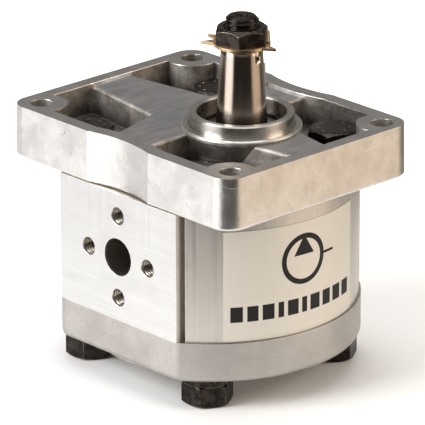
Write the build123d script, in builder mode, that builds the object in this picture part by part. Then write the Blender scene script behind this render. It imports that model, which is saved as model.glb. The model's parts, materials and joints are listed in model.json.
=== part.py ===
from build123d import *
import os
from math import acos, cos, pi, radians, sin, sqrt, tan

# External gear pump with a thick cast mounting flange, an extruded gear housing and a rear cover.
# Millimetres. The origin is on the drive shaft's axis, at the mounting face of the front flange.
# +Z points along the shaft away from the pump, +X from the driven gear towards the drive gear.

# ---------------------------------------------------------------- driving dimensions
CENTRE_DISTANCE = 31.0          # between the two gear shafts
PUMP_X = -CENTRE_DISTANCE / 2   # middle of the pump, half way between the shafts

# front flange
FLANGE_X = PUMP_X - 0.8         # the casting is slightly longer on the driven side
FLANGE_LENGTH = 111.6
FLANGE_WIDTH = 87.6
FLANGE_T = 18.8
FLANGE_CORNER_R = 7.5
FLANGE_DRAFT = 1.0
FLANGE_FOOT_R = 1.2
MOUNT_SPACING_X = 96.0
MOUNT_SPACING_Y = 71.5
MOUNT_HOLE_R = 4.1
SCALLOP_HALF_CHORD = 15.5
SCALLOP_DEPTH = 2.3
RIM_END = 4.9                   # rim wall at the short ends
RIM_SIDE = 5.2                  # rim wall along the long sides
EAR_R = 9.0                     # metal kept round each mounting hole
POCKET_DEPTH = 11.3
WEB_DROP = 1.0                  # the webs lie this much below the rim
WEB_EDGE = [                    # one edge of the webs, from the driven end to the drive end
    (-70.0, 8.45), (-30.6, 14.4), (-22.9, 43.8), (-7.2, 43.8), (-7.2, 15.0), (14.0, 11.6), (35.0, 7.9),
]
WEB_TOP_FILLET = 1.2
WALL_FILLET = 2.0
FLOOR_FILLET = 0.5

# pilot and shaft seal bore
PILOT_R = 18.25
PILOT_HEIGHT = 5.0
PILOT_BORE_R = 15.5
SHOULDER_R = 20.4
SHOULDER_FOOT_R = 20.9
SHOULDER_HEIGHT = 0.6
GROOVE_W = 0.5                  # relief groove at the pilot's foot
BOSS_R = 17.3                   # cast hub below the shoulder
BOSS_FLARE = 8.0                # the hub has widened to the shoulder's radius this far below z = 0
SEAL_TOP = -1.2
SEAL_SEAT = -8.2
RING_GROOVE_R = 16.2
NOSE_BORE_R = 9.8

# gear housing and rear cover
HOUSING_LENGTH = 46.5
HOUSING_R = 51.7
PAD_Y = 44.0
PAD_LENGTH = 59.0
SLOT_W = 1.6
SLOT_FLOOR_Y = 39.0
COVER_T = 14.5
COVER_R = 52.6
COVER_CORNER_R = 5.5
COVER_EDGE_R = 2.0
COVER_RAISE = 2.4
COVER_RAISE_R = 40.5
COVER_RAISE_EDGE_R = 0.8
NUT_SEAT_R = 12.0

# ports
PORT_R = 6.75
PORT_DEPTH = 22.0               # the port is this deep, then a narrower passage meets the chamber
PASSAGE_R = 6.2
PORT_PCD = 30.0
PORT_SCREW_R = 3.0
PORT_SCREW_DEPTH = 13.0

# through bolts, M10
BOLT_SPACING = 60.0
BOLT_R = 5.0
BOLT_HOLE_R = 5.3
HEX_M10 = 16.0
BOLT_HEAD_H = 6.4
NUT_H = 8.0
SPRING_WASHER_T = 2.2
DOWEL_R = 7.0
DOWEL_LENGTH = 9.0

# gears: true involutes on a 28 degree pressure angle, so twelve teeth need no undercut
TEETH = 12
MODULE = CENTRE_DISTANCE / TEETH
PRESSURE_ANGLE = radians(28)
ADDENDUM = 0.9 * MODULE
DEDENDUM = 1.15 * MODULE
TOOTH_THINNING = 0.10           # taken off each tooth at the pitch circle, for backlash
GEAR_WIDTH = 13.2
GEAR_END_PLAY = 0.04

# shafts and bearings
JOURNAL_R = 9.0
RELIEF_R = 8.6
RELIEF_W = 1.0
BUSH_BORE_R = 9.03
BUSH_R = 10.2
CHAMBER_CLEARANCE = 0.06
TAPER_RATIO = 1 / 8
TAPER_START_R = 8.96
TAPER_END = 28.8
THREAD_R = 6.0
THREAD_ROOT_R = 5.1
THREAD_PITCH = 1.75
THREAD_END = 0.9                # plain end beyond the last ridge
SHAFT_END = 39.2

# shaft nut, tab washer and key
TAB_WASHER_T = 1.0
TAB_WASHER_R = 9.9
TAB_TIP_R = 14.2
SHAFT_NUT_H = 5.8
SHAFT_NUT_LEAD_IN = 0.7
SHAFT_NUT_AF = 17.0
SHAFT_NUT_TURN = -49.1          # direction of one corner of the nut
KEY_W = 4.0
KEY_R = 6.5
KEY_Z = 14.0
KEY_HEIGHT = 5.0
KEY_STANDS_PROUD = 1.3

# seals
BODY_SEAL_GAP = 2.3             # metal between the gear chamber and the seal groove
BODY_SEAL_W = 2.2
BODY_SEAL_T = 1.6
BALANCE_IN_R = 12.2
BALANCE_OUT_R = 14.6
BALANCE_SEAL_T = 1.4
BACKUP_T = 0.8

# data label, wrapped round the rounded end of the housing
LABEL_T = 0.2
LABEL_TOP = -24.9
LABEL_HEIGHT = 40.0
LABEL_FROM = -38.6
LABEL_TO = 24.6

# ---------------------------------------------------------------- levels along the shaft
HOUSING_TOP = -FLANGE_T
HOUSING_BOTTOM = HOUSING_TOP - HOUSING_LENGTH
COVER_BOTTOM = HOUSING_BOTTOM - COVER_T
MID_Z = (HOUSING_TOP + HOUSING_BOTTOM) / 2
GEAR_TOP = MID_Z + GEAR_WIDTH / 2
GEAR_BOTTOM = MID_Z - GEAR_WIDTH / 2
BLOCK_LENGTH = HOUSING_TOP - GEAR_TOP - GEAR_END_PLAY
TIP_R = CENTRE_DISTANCE / 2 + ADDENDUM
ROOT_R = CENTRE_DISTANCE / 2 - DEDENDUM
CHAMBER_R = TIP_R + CHAMBER_CLEARANCE
JOURNAL_ENDS = (HOUSING_TOP - 1.5, HOUSING_BOTTOM + 1.5)

DRIVE = (0, 0)
DRIVEN = (-CENTRE_DISTANCE, 0)
MOUNT_HOLES = [
    (PUMP_X + i * MOUNT_SPACING_X / 2, j * MOUNT_SPACING_Y / 2) for i in (-1, 1) for j in (-1, 1)
]
BOLTS = [(PUMP_X + i * BOLT_SPACING / 2, j * BOLT_SPACING / 2) for i in (-1, 1) for j in (-1, 1)]
DOWELLED = [BOLTS[0], BOLTS[3]]

os.makedirs("parts", exist_ok=True)


def save(part, label):
    """Label one finished piece and write it as a STEP file."""
    part.label = label
    export_step(part, f"parts/{label}.step")


# ---------------------------------------------------------------- front flange
SCALLOP_R = (SCALLOP_HALF_CHORD**2 + SCALLOP_DEPTH**2) / (2 * SCALLOP_DEPTH)
SCALLOP_Y = FLANGE_WIDTH / 2 + SCALLOP_R - SCALLOP_DEPTH
SCALLOPS = [(PUMP_X, -SCALLOP_Y), (PUMP_X, SCALLOP_Y)]
FOOT_GROWTH = 2 * FLANGE_T * tan(radians(FLANGE_DRAFT))

with BuildPart() as front_flange:
    # the block grows a little towards its foot, with a shallow scallop in each long side
    with BuildSketch(Plane.XY.offset(-FLANGE_T)) as flange_outline:
        with Locations((FLANGE_X, 0)):
            RectangleRounded(FLANGE_LENGTH + FOOT_GROWTH, FLANGE_WIDTH + FOOT_GROWTH, FLANGE_CORNER_R)
        with Locations(SCALLOPS):
            Circle(SCALLOP_R - FOOT_GROWTH / 2, mode=Mode.SUBTRACT)
    extrude(amount=FLANGE_T, taper=FLANGE_DRAFT)
    fillet(front_flange.edges().group_by(Axis.Z)[0], FLANGE_FOOT_R)

    # four open pockets between the rim, the ears round the mounting holes, the webs and the boss
    with BuildSketch(Plane.XY) as pocket_outline:
        with Locations((FLANGE_X, 0)):
            Rectangle(FLANGE_LENGTH - 2 * RIM_END, FLANGE_WIDTH - 2 * RIM_SIDE)
        with Locations(SCALLOPS):
            Circle(SCALLOP_R + RIM_SIDE, mode=Mode.SUBTRACT)
        with Locations(MOUNT_HOLES):
            Circle(EAR_R, mode=Mode.SUBTRACT)
        Circle(BOSS_R, mode=Mode.SUBTRACT)
        with BuildLine():
            Polyline(*WEB_EDGE, *[(x, -y) for x, y in reversed(WEB_EDGE)], close=True)
        make_face(mode=Mode.SUBTRACT)
    extrude(amount=-POCKET_DEPTH, mode=Mode.SUBTRACT)
    # the web tops, milled just below the rim
    with BuildSketch(Plane.XY) as web_tops:
        with Locations((FLANGE_X, 0)):
            Rectangle(FLANGE_LENGTH - 2 * RIM_END, FLANGE_WIDTH - 2 * RIM_SIDE)
        with Locations(SCALLOPS):
            Circle(SCALLOP_R + RIM_SIDE, mode=Mode.SUBTRACT)
        with Locations(MOUNT_HOLES):
            Circle(EAR_R, mode=Mode.SUBTRACT)
        Circle(SHOULDER_FOOT_R, mode=Mode.SUBTRACT)
    extrude(amount=-WEB_DROP, mode=Mode.SUBTRACT)

    # the casting's rounded edges: web tops first, then the walls' corners, then round each floor
    web_edges = front_flange.edges().filter_by(GeomType.LINE).filter_by(
        lambda edge: abs(edge.center().Z + WEB_DROP) < 0.01
    )
    fillet(
        web_edges.filter_by(lambda edge: abs(edge.center().Y) > 5 and edge.length > 8),
        WEB_TOP_FILLET,
    )
    # the corners beside the webs and the hub are rounded; the notches beside the ears stay sharp
    upright = front_flange.edges().filter_by(Axis.Z).filter_by(
        lambda edge: edge.length > POCKET_DEPTH / 2 and -POCKET_DEPTH < edge.center().Z < -WEB_DROP
    )
    fillet(
        upright.filter_by(
            lambda edge: abs(edge.center().Y) < 24 or abs(edge.center().X - PUMP_X) < 11
        ),
        WALL_FILLET,
    )
    fillet(
        front_flange.edges().filter_by(lambda edge: abs(edge.center().Z + POCKET_DEPTH) < 0.01),
        FLOOR_FILLET,
    )

    # pilot ring on its sloping shoulder, with a thin relief groove at its foot
    with BuildSketch(Plane.XZ) as pilot_profile:
        with BuildLine():
            Polyline(
                (PILOT_BORE_R, -BOSS_FLARE), (BOSS_R, -BOSS_FLARE), (SHOULDER_FOOT_R, -1.2 * WEB_DROP),
                (SHOULDER_FOOT_R, 0), (SHOULDER_R, SHOULDER_HEIGHT),
                (PILOT_R + GROOVE_W, SHOULDER_HEIGHT),
                (PILOT_R + 0.6 * GROOVE_W, SHOULDER_HEIGHT - GROOVE_W),
                (PILOT_R, SHOULDER_HEIGHT), (PILOT_R, PILOT_HEIGHT - 0.5), (PILOT_R - 0.5, PILOT_HEIGHT),
                (PILOT_BORE_R + 0.5, PILOT_HEIGHT), (PILOT_BORE_R, PILOT_HEIGHT - 0.5),
                close=True,
            )
        make_face()
    revolve(axis=Axis.Z)

    # seal bore, snap ring groove and the hole for the shaft
    with BuildSketch(Plane.XZ) as bore_profile:
        with BuildLine():
            Polyline(
                (0, PILOT_HEIGHT), (PILOT_BORE_R, PILOT_HEIGHT), (PILOT_BORE_R, 0), (RING_GROOVE_R, 0),
                (RING_GROOVE_R, SEAL_TOP), (PILOT_BORE_R, SEAL_TOP), (PILOT_BORE_R, SEAL_SEAT),
                (NOSE_BORE_R, SEAL_SEAT), (NOSE_BORE_R, HOUSING_TOP), (0, HOUSING_TOP),
                close=True,
            )
        make_face()
    revolve(axis=Axis.Z, mode=Mode.SUBTRACT)

    # mounting holes, bolt holes and the recesses for the dowels
    with Locations([(x, y, 0) for x, y in MOUNT_HOLES]):
        Hole(MOUNT_HOLE_R, depth=FLANGE_T)
    with Locations([(x, y, -POCKET_DEPTH) for x, y in BOLTS]):
        Hole(BOLT_HOLE_R, depth=FLANGE_T)
    with BuildSketch(Plane.XY.offset(HOUSING_TOP)) as dowel_recesses:
        with Locations(DOWELLED):
            Circle(DOWEL_R)
    extrude(amount=DOWEL_LENGTH / 2, mode=Mode.SUBTRACT)
save(front_flange.part, "front_flange")

# ---------------------------------------------------------------- gear housing
with BuildPart() as gear_housing:
    # an extruded bar: rounded ends, a flat pad on each port side and a slot beside each pad edge
    with BuildSketch(Plane((PUMP_X, 0, HOUSING_BOTTOM))) as bar_section:
        Circle(HOUSING_R)
        Rectangle(2 * HOUSING_R, 2 * PAD_Y, mode=Mode.INTERSECT)
        Rectangle(PAD_LENGTH, 2 * PAD_Y)
        with GridLocations(PAD_LENGTH + SLOT_W, 2 * SLOT_FLOOR_Y + 10, 2, 2):
            Rectangle(SLOT_W, 10, mode=Mode.SUBTRACT)
    extrude(amount=HOUSING_LENGTH)

    # the gear chamber: two overlapping bores
    with BuildSketch(Plane.XY.offset(HOUSING_BOTTOM)) as chamber:
        with Locations(DRIVE, DRIVEN):
            Circle(CHAMBER_R)
    extrude(amount=HOUSING_LENGTH, mode=Mode.SUBTRACT)

    # a port and its four tapped holes on each pad
    for side in (-1, 1):
        pad = Plane((PUMP_X, side * PAD_Y, MID_Z), x_dir=(1, 0, 0), z_dir=(0, side, 0))
        with BuildSketch(pad) as port:
            Circle(PORT_R)
        extrude(amount=-PORT_DEPTH, mode=Mode.SUBTRACT)
        with BuildSketch(pad) as passage:
            Circle(PASSAGE_R)
        extrude(amount=-(PAD_Y - 2), mode=Mode.SUBTRACT)
        with Locations(pad):
            with PolarLocations(PORT_PCD / 2, 4):
                CounterSinkHole(PORT_SCREW_R, PORT_SCREW_R + 0.3, depth=PORT_SCREW_DEPTH)

    # bolt holes, dowel recesses and the two grooves for the body seals
    with BuildSketch(Plane.XY.offset(HOUSING_BOTTOM)) as bolt_holes:
        with Locations(BOLTS):
            Circle(BOLT_HOLE_R)
    extrude(amount=HOUSING_LENGTH, mode=Mode.SUBTRACT)
    for face_z, depth_sign in ((HOUSING_TOP, -1), (HOUSING_BOTTOM, 1)):
        with BuildSketch(Plane.XY.offset(face_z)) as dowel_recesses:
            with Locations(DOWELLED):
                Circle(DOWEL_R)
        extrude(amount=depth_sign * DOWEL_LENGTH / 2, mode=Mode.SUBTRACT)
        with BuildSketch(Plane.XY.offset(face_z)) as seal_groove:
            with Locations((PUMP_X, 0)):
                SlotCenterToCenter(CENTRE_DISTANCE, 2 * (CHAMBER_R + BODY_SEAL_GAP + BODY_SEAL_W))
                SlotCenterToCenter(CENTRE_DISTANCE, 2 * (CHAMBER_R + BODY_SEAL_GAP), mode=Mode.SUBTRACT)
        extrude(amount=depth_sign * BODY_SEAL_T, mode=Mode.SUBTRACT)
save(gear_housing.part, "gear_housing")

# ---------------------------------------------------------------- rear cover
with BuildPart() as rear_cover:
    with BuildSketch(Plane((PUMP_X, 0, COVER_BOTTOM))) as cover_outline:
        Circle(COVER_R)
        Rectangle(2 * COVER_R, 2 * PAD_Y, mode=Mode.INTERSECT)
        fillet(cover_outline.vertices(), COVER_CORNER_R)
    extrude(amount=COVER_T)
    fillet(rear_cover.edges().group_by(Axis.Z)[0], COVER_EDGE_R)

    # the raised middle of the underside leaves a round seat for each nut
    with BuildSketch(Plane((PUMP_X, 0, COVER_BOTTOM))) as raised_middle:
        Circle(COVER_RAISE_R)
        with GridLocations(BOLT_SPACING, BOLT_SPACING, 2, 2):
            Circle(NUT_SEAT_R, mode=Mode.SUBTRACT)
    extrude(amount=-COVER_RAISE)
    fillet(rear_cover.edges().group_by(Axis.Z)[0], COVER_RAISE_EDGE_R)

    with BuildSketch(Plane.XY.offset(COVER_BOTTOM)) as bolt_holes:
        with Locations(BOLTS):
            Circle(BOLT_HOLE_R)
    extrude(amount=COVER_T, mode=Mode.SUBTRACT)
    with BuildSketch(Plane.XY.offset(HOUSING_BOTTOM)) as dowel_recesses:
        with Locations(DOWELLED):
            Circle(DOWEL_R)
    extrude(amount=-DOWEL_LENGTH / 2, mode=Mode.SUBTRACT)
save(rear_cover.part, "rear_cover")


# ---------------------------------------------------------------- fasteners
def chamfered_hexagon(across_flats, height, low_chamfer, high_chamfer, rim_share=0.96, slope=30):
    """A hexagonal prism standing on z = 0, its corners turned off at the chosen ends."""
    corner = across_flats / sqrt(3)
    rim = across_flats / 2 * rim_share
    drop = (corner - rim) * tan(radians(slope))
    low_end = [(0, 0), (rim, 0), (corner, drop)] if low_chamfer else [(0, 0), (corner, 0)]
    high_end = [(corner, height - drop), (rim, height)] if high_chamfer else [(corner, height)]
    with BuildPart() as prism:
        with BuildSketch():
            RegularPolygon(across_flats / 2, 6, major_radius=False)
        extrude(amount=height)
        with BuildSketch(Plane.XZ):
            with BuildLine():
                Polyline(*low_end, *high_end, (0, height), close=True)
            make_face()
        revolve(axis=Axis.Z, mode=Mode.INTERSECT)
    return prism.part


bolt_head = chamfered_hexagon(HEX_M10, BOLT_HEAD_H, low_chamfer=False, high_chamfer=True)
clamp_nut = chamfered_hexagon(HEX_M10, NUT_H, low_chamfer=True, high_chamfer=True)
shaft_nut_blank = chamfered_hexagon(
    SHAFT_NUT_AF, SHAFT_NUT_H, low_chamfer=False, high_chamfer=True, rim_share=0.93, slope=38
)
NUT_TOP = COVER_BOTTOM - SPRING_WASHER_T
NUT_BOTTOM = NUT_TOP - NUT_H

with BuildPart() as clamp_bolts:
    with Locations([Location((x, y, -POCKET_DEPTH), (0, 0, 1), 4) for x, y in BOLTS]):
        add(bolt_head)
        with Locations((0, 0, BOLT_HEAD_H)):
            with PolarLocations(5.4, 8):
                Cylinder(0.45, 0.3, align=(Align.CENTER, Align.CENTER, Align.MIN))
    with Locations([(x, y, NUT_BOTTOM + 0.1) for x, y in BOLTS]):
        Cylinder(BOLT_R, -POCKET_DEPTH - NUT_BOTTOM - 0.1, align=(Align.CENTER, Align.CENTER, Align.MIN))
save(clamp_bolts.part, "clamp_bolts")

with BuildPart() as clamp_nuts:
    with Locations([Location((x, y, NUT_BOTTOM), (0, 0, 1), 1) for x, y in BOLTS]):
        add(clamp_nut)
        Hole(BOLT_R, depth=3 * NUT_H)
save(clamp_nuts.part, "clamp_nuts")

with BuildPart() as spring_washers:
    with BuildSketch(Plane.XY.offset(NUT_TOP)):
        with Locations(BOLTS):
            Circle(9.0)
            Circle(BOLT_R + 0.1, mode=Mode.SUBTRACT)
    extrude(amount=SPRING_WASHER_T)
    with Locations([Location((x + 7, y, NUT_TOP + SPRING_WASHER_T / 2), (1, 0, 0), 20) for x, y in BOLTS]):
        Box(6, 0.6, 2 * SPRING_WASHER_T, mode=Mode.SUBTRACT)
save(spring_washers.part, "spring_washers")

for face_z, label in ((HOUSING_TOP, "front_dowels"), (HOUSING_BOTTOM, "rear_dowels")):
    with BuildPart() as dowels:
        with BuildSketch(Plane.XY.offset(face_z - DOWEL_LENGTH / 2)):
            with Locations(DOWELLED):
                Circle(DOWEL_R)
                Circle(BOLT_HOLE_R, mode=Mode.SUBTRACT)
        extrude(amount=DOWEL_LENGTH)
    save(dowels.part, label)

# ---------------------------------------------------------------- gears and shafts
BASE_R = CENTRE_DISTANCE / 2 * cos(PRESSURE_ANGLE)
FLANK_STEPS = 7


def involute(angle):
    return tan(angle) - angle


def half_tooth_angle(radius):
    """Half of the angle that a tooth takes up at a radius, from its centre line."""
    at_pitch = pi / (2 * TEETH) - TOOTH_THINNING / CENTRE_DISTANCE
    return at_pitch + involute(PRESSURE_ANGLE) - involute(acos(BASE_R / radius))


def on_circle(radius, angle):
    return (radius * cos(angle), radius * sin(angle))


def gear_outline(first_tooth):
    """Draw the closed outline of one gear, its first tooth's centre line at an angle in radians."""
    radii = [BASE_R + (TIP_R - BASE_R) * (i / FLANK_STEPS) ** 1.5 for i in range(FLANK_STEPS + 1)]
    tip = half_tooth_angle(TIP_R)
    root = half_tooth_angle(BASE_R)
    pitch = 2 * pi / TEETH
    for i in range(TEETH):
        middle = first_tooth + i * pitch
        Line(on_circle(ROOT_R, middle - root), on_circle(BASE_R, middle - root))
        Spline([on_circle(r, middle - half_tooth_angle(r)) for r in radii])
        ThreePointArc(*[on_circle(TIP_R, middle + k * tip) for k in (-1, 0, 1)])
        Spline([on_circle(r, middle + half_tooth_angle(r)) for r in reversed(radii)])
        Line(on_circle(BASE_R, middle + root), on_circle(ROOT_R, middle + root))
        gap = pitch / 2 - root
        ThreePointArc(*[on_circle(ROOT_R, middle + pitch / 2 + k * gap) for k in (-1, 0, 1)])


with BuildPart() as drive_gear_shaft:
    with BuildSketch(Plane.XY.offset(GEAR_BOTTOM)) as drive_teeth:
        with BuildLine():
            gear_outline(0)
        make_face()
    extrude(amount=GEAR_WIDTH)

    # journals with a relief groove beside the gear, then the 1:8 taper and the thread
    taper_end_r = TAPER_START_R - TAPER_END * TAPER_RATIO / 2
    thread_end = SHAFT_END - THREAD_END
    crests = int((thread_end - TAPER_END - 1.2) / THREAD_PITCH)
    thread = []
    for i in range(crests, 0, -1):
        z = thread_end - i * THREAD_PITCH
        thread += [
            (THREAD_ROOT_R, z), (THREAD_R, z + 0.55 * THREAD_PITCH), (THREAD_R, z + 0.7 * THREAD_PITCH),
            (THREAD_ROOT_R, z + 1.0 * THREAD_PITCH - 0.1),
        ]
    with BuildSketch(Plane.XZ) as drive_profile:
        with BuildLine():
            Polyline(
                (0, JOURNAL_ENDS[1]), (JOURNAL_R - 0.6, JOURNAL_ENDS[1]), (JOURNAL_R, JOURNAL_ENDS[1] + 0.6),
                (JOURNAL_R, GEAR_BOTTOM - RELIEF_W), (RELIEF_R, GEAR_BOTTOM - RELIEF_W),
                (RELIEF_R, GEAR_TOP + RELIEF_W), (JOURNAL_R, GEAR_TOP + RELIEF_W), (JOURNAL_R, -0.4),
                (TAPER_START_R, 0), (taper_end_r, TAPER_END), (THREAD_ROOT_R, TAPER_END), *thread,
                (THREAD_ROOT_R, thread_end), (THREAD_ROOT_R + 0.3, thread_end + 0.3),
                (THREAD_ROOT_R - 0.3, SHAFT_END), (0, SHAFT_END),
                close=True,
            )
        make_face()
    revolve(axis=Axis.Z)

    # centre-drilled end, keyseat and a small punch mark on the taper
    with Locations((0, 0, SHAFT_END)):
        CounterSinkHole(1.0, 2.0, depth=4)
    key_seat_y = TAPER_START_R - KEY_Z * TAPER_RATIO / 2 + KEY_STANDS_PROUD - KEY_HEIGHT + KEY_R
    with Locations(Location((0, key_seat_y, KEY_Z), (0, 1, 0), 90)):
        Cylinder(KEY_R, KEY_W, mode=Mode.SUBTRACT)
    with Locations((taper_end_r, 0.5, TAPER_END - 3.5)):
        Sphere(0.6, mode=Mode.SUBTRACT)
save(drive_gear_shaft.part, "drive_gear_shaft")

with BuildPart() as driven_gear_shaft:
    with BuildSketch(Plane((*DRIVEN, GEAR_BOTTOM))) as driven_teeth:
        with BuildLine():
            gear_outline(pi / TEETH)
        make_face()
    extrude(amount=GEAR_WIDTH)
    with BuildSketch(Plane((*DRIVEN, 0), x_dir=(1, 0, 0), z_dir=(0, -1, 0))) as driven_profile:
        with BuildLine():
            Polyline(
                (0, JOURNAL_ENDS[1]), (JOURNAL_R - 0.6, JOURNAL_ENDS[1]), (JOURNAL_R, JOURNAL_ENDS[1] + 0.6),
                (JOURNAL_R, GEAR_BOTTOM - RELIEF_W), (RELIEF_R, GEAR_BOTTOM - RELIEF_W),
                (RELIEF_R, GEAR_TOP + RELIEF_W), (JOURNAL_R, GEAR_TOP + RELIEF_W),
                (JOURNAL_R, JOURNAL_ENDS[0] - 0.6), (JOURNAL_R - 0.6, JOURNAL_ENDS[0]), (0, JOURNAL_ENDS[0]),
                close=True,
            )
        make_face()
    revolve(axis=Axis((DRIVEN[0], 0, 0), (0, 0, 1)))
save(driven_gear_shaft.part, "driven_gear_shaft")

# ---------------------------------------------------------------- bearing blocks, bushes and balance seals
def balance_track():
    """Draw the open three-shaped track of a balance seal: an arc round each shaft and a bridge."""
    with Locations(DRIVE, DRIVEN):
        Circle(BALANCE_OUT_R)
        Circle(BALANCE_IN_R, mode=Mode.SUBTRACT)
    with Locations((PUMP_X, 25)):
        Rectangle(2 * CENTRE_DISTANCE, 42, mode=Mode.SUBTRACT)
    bridge = CENTRE_DISTANCE - 2 * BALANCE_OUT_R + 1
    with Locations((PUMP_X, 0)):
        Rectangle(bridge, BALANCE_OUT_R - BALANCE_IN_R)


# each block is named with the end of the housing it fills: outer face, direction inwards
BLOCK_ENDS = {"front": (HOUSING_TOP, -1), "rear": (HOUSING_BOTTOM, 1)}
for end, (outer_z, inward) in BLOCK_ENDS.items():
    with BuildPart() as bearing_block:
        with BuildSketch(Plane.XY.offset(outer_z)) as block_section:
            with Locations(DRIVE, DRIVEN):
                Circle(CHAMBER_R)
            with Locations(DRIVE, DRIVEN):
                Circle(BUSH_R, mode=Mode.SUBTRACT)
        extrude(amount=inward * BLOCK_LENGTH)
        with BuildSketch(Plane.XY.offset(outer_z)) as track:
            balance_track()
        extrude(amount=inward * (BALANCE_SEAL_T + BACKUP_T), mode=Mode.SUBTRACT)
        # two shallow pockets in the inner face, one each side of the mesh
        with BuildSketch(Plane.XY.offset(outer_z + inward * BLOCK_LENGTH)) as pressure_pockets:
            with Locations((PUMP_X, 6), (PUMP_X, -6)):
                Rectangle(7, 5)
        extrude(amount=-inward * 1.2, mode=Mode.SUBTRACT)
    save(bearing_block.part, f"{end}_bearing_block")

    for shaft, centre in (("drive", DRIVE), ("driven", DRIVEN)):
        with BuildPart() as bush:
            with BuildSketch(Plane.XY.offset(outer_z)):
                with Locations(centre):
                    Circle(BUSH_R)
                    Circle(BUSH_BORE_R, mode=Mode.SUBTRACT)
            extrude(amount=inward * (BLOCK_LENGTH - 0.3))
        save(bush.part, f"{end}_{shaft}_bush")

    with BuildPart() as balance_seal:
        with BuildSketch(Plane.XY.offset(outer_z + inward * BACKUP_T)):
            balance_track()
        extrude(amount=inward * BALANCE_SEAL_T)
    save(balance_seal.part, f"{end}_balance_seal")

    with BuildPart() as backup_ring:
        with BuildSketch(Plane.XY.offset(outer_z)):
            balance_track()
        extrude(amount=inward * BACKUP_T)
    save(backup_ring.part, f"{end}_backup_ring")

    with BuildPart() as body_seal:
        with BuildSketch(Plane.XY.offset(outer_z)):
            with Locations((PUMP_X, 0)):
                SlotCenterToCenter(CENTRE_DISTANCE, 2 * (CHAMBER_R + BODY_SEAL_GAP + BODY_SEAL_W))
                SlotCenterToCenter(CENTRE_DISTANCE, 2 * (CHAMBER_R + BODY_SEAL_GAP), mode=Mode.SUBTRACT)
        extrude(amount=inward * BODY_SEAL_T)
    save(body_seal.part, f"{end}_body_seal")


# ---------------------------------------------------------------- shaft seal
def ring_of(points):
    """Revolve a closed outline, given as radius and height, into a ring round the drive shaft."""
    with BuildPart() as ring:
        with BuildSketch(Plane.XZ):
            with BuildLine():
                Polyline(*points, close=True)
            make_face()
        revolve(axis=Axis.Z)
    return ring.part


LIP_ROOT_R = 11.5
CASE_T = 1.4
LIP_Z = -6.0
shaft_seal_case = ring_of([
    (LIP_ROOT_R, SEAL_TOP), (PILOT_BORE_R - 0.4, SEAL_TOP), (PILOT_BORE_R, SEAL_TOP - 0.4),
    (PILOT_BORE_R, SEAL_SEAT), (PILOT_BORE_R - CASE_T, SEAL_SEAT),
    (PILOT_BORE_R - CASE_T, SEAL_TOP - CASE_T), (LIP_ROOT_R, SEAL_TOP - CASE_T),
])
save(shaft_seal_case, "shaft_seal_case")
shaft_seal_lip = ring_of([
    (LIP_ROOT_R, SEAL_TOP), (LIP_ROOT_R, SEAL_TOP - CASE_T), (LIP_ROOT_R, LIP_Z - 0.8), (10.3, LIP_Z - 0.8),
    (BUSH_BORE_R, LIP_Z), (10.2, SEAL_TOP - 2.6), (BUSH_BORE_R + 0.1, SEAL_TOP - 0.6),
    (BUSH_BORE_R + 0.5, SEAL_TOP),
])
save(shaft_seal_lip, "shaft_seal_lip")
with BuildPart() as shaft_seal_spring:
    with BuildSketch(Plane.XZ):
        with Locations((LIP_ROOT_R + 0.5, LIP_Z)):
            Circle(0.5)
    revolve(axis=Axis.Z)
save(shaft_seal_spring.part, "shaft_seal_spring")

with BuildPart() as seal_snap_ring:
    with BuildSketch(Plane.XY.offset(SEAL_TOP)):
        Circle(RING_GROOVE_R)
        Circle(13.9, mode=Mode.SUBTRACT)
        with Locations((13.2, 3.2), (13.2, -3.2)):
            Circle(1.9)
            Circle(0.8, mode=Mode.SUBTRACT)
        with Locations((14, 0)):
            Rectangle(8, 3.4, mode=Mode.SUBTRACT)
    extrude(amount=-SEAL_TOP)
save(seal_snap_ring.part, "seal_snap_ring")

# ---------------------------------------------------------------- shaft nut, tab washer and key
with BuildPart() as shaft_nut:
    with Locations(Location((0, 0, TAPER_END + TAB_WASHER_T), (0, 0, 1), SHAFT_NUT_TURN)):
        add(shaft_nut_blank)
    Hole(THREAD_R, depth=2 * SHAFT_END)
    bore_edges = shaft_nut.edges().filter_by(GeomType.CIRCLE).filter_by(
        lambda edge: abs(edge.radius - THREAD_R) < 0.01
    )
    chamfer(bore_edges.sort_by(Axis.Z)[-1], SHAFT_NUT_LEAD_IN)
save(shaft_nut.part, "shaft_nut")

TAB_ANGLES = (12, 192, 225)     # the flat tabs
BENT_TAB_ANGLE = SHAFT_NUT_TURN + 90
with BuildPart() as tab_washer:
    with BuildSketch(Plane.XY.offset(TAPER_END)):
        Circle(TAB_WASHER_R)
        for angle in TAB_ANGLES:
            with BuildLine():
                left, right = radians(angle - 13), radians(angle + 13)
                Polyline(
                    on_circle(TAB_WASHER_R - 0.5, left), on_circle(TAB_TIP_R, radians(angle)),
                    on_circle(TAB_WASHER_R - 0.5, right), (0, 0),
                    close=True,
                )
            make_face()
        Circle(THREAD_R, mode=Mode.SUBTRACT)
    extrude(amount=TAB_WASHER_T)
    # the fourth tab is bent up against a flat of the nut
    bent_from = SHAFT_NUT_AF / 2 + 0.05
    bent = Plane(
        (bent_from * cos(radians(BENT_TAB_ANGLE)), bent_from * sin(radians(BENT_TAB_ANGLE)), TAPER_END),
        x_dir=(-sin(radians(BENT_TAB_ANGLE)), cos(radians(BENT_TAB_ANGLE)), 0),
        z_dir=(cos(radians(BENT_TAB_ANGLE)), sin(radians(BENT_TAB_ANGLE)), 0),
    )
    with BuildSketch(bent) as bent_tab:
        with BuildLine():
            Polyline((-2.6, 0), (2.6, 0), (2.4, 2), (0, 5.4), (-2.4, 2), close=True)
        make_face()
    extrude(amount=TAB_WASHER_T)
save(tab_washer.part, "tab_washer")

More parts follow.
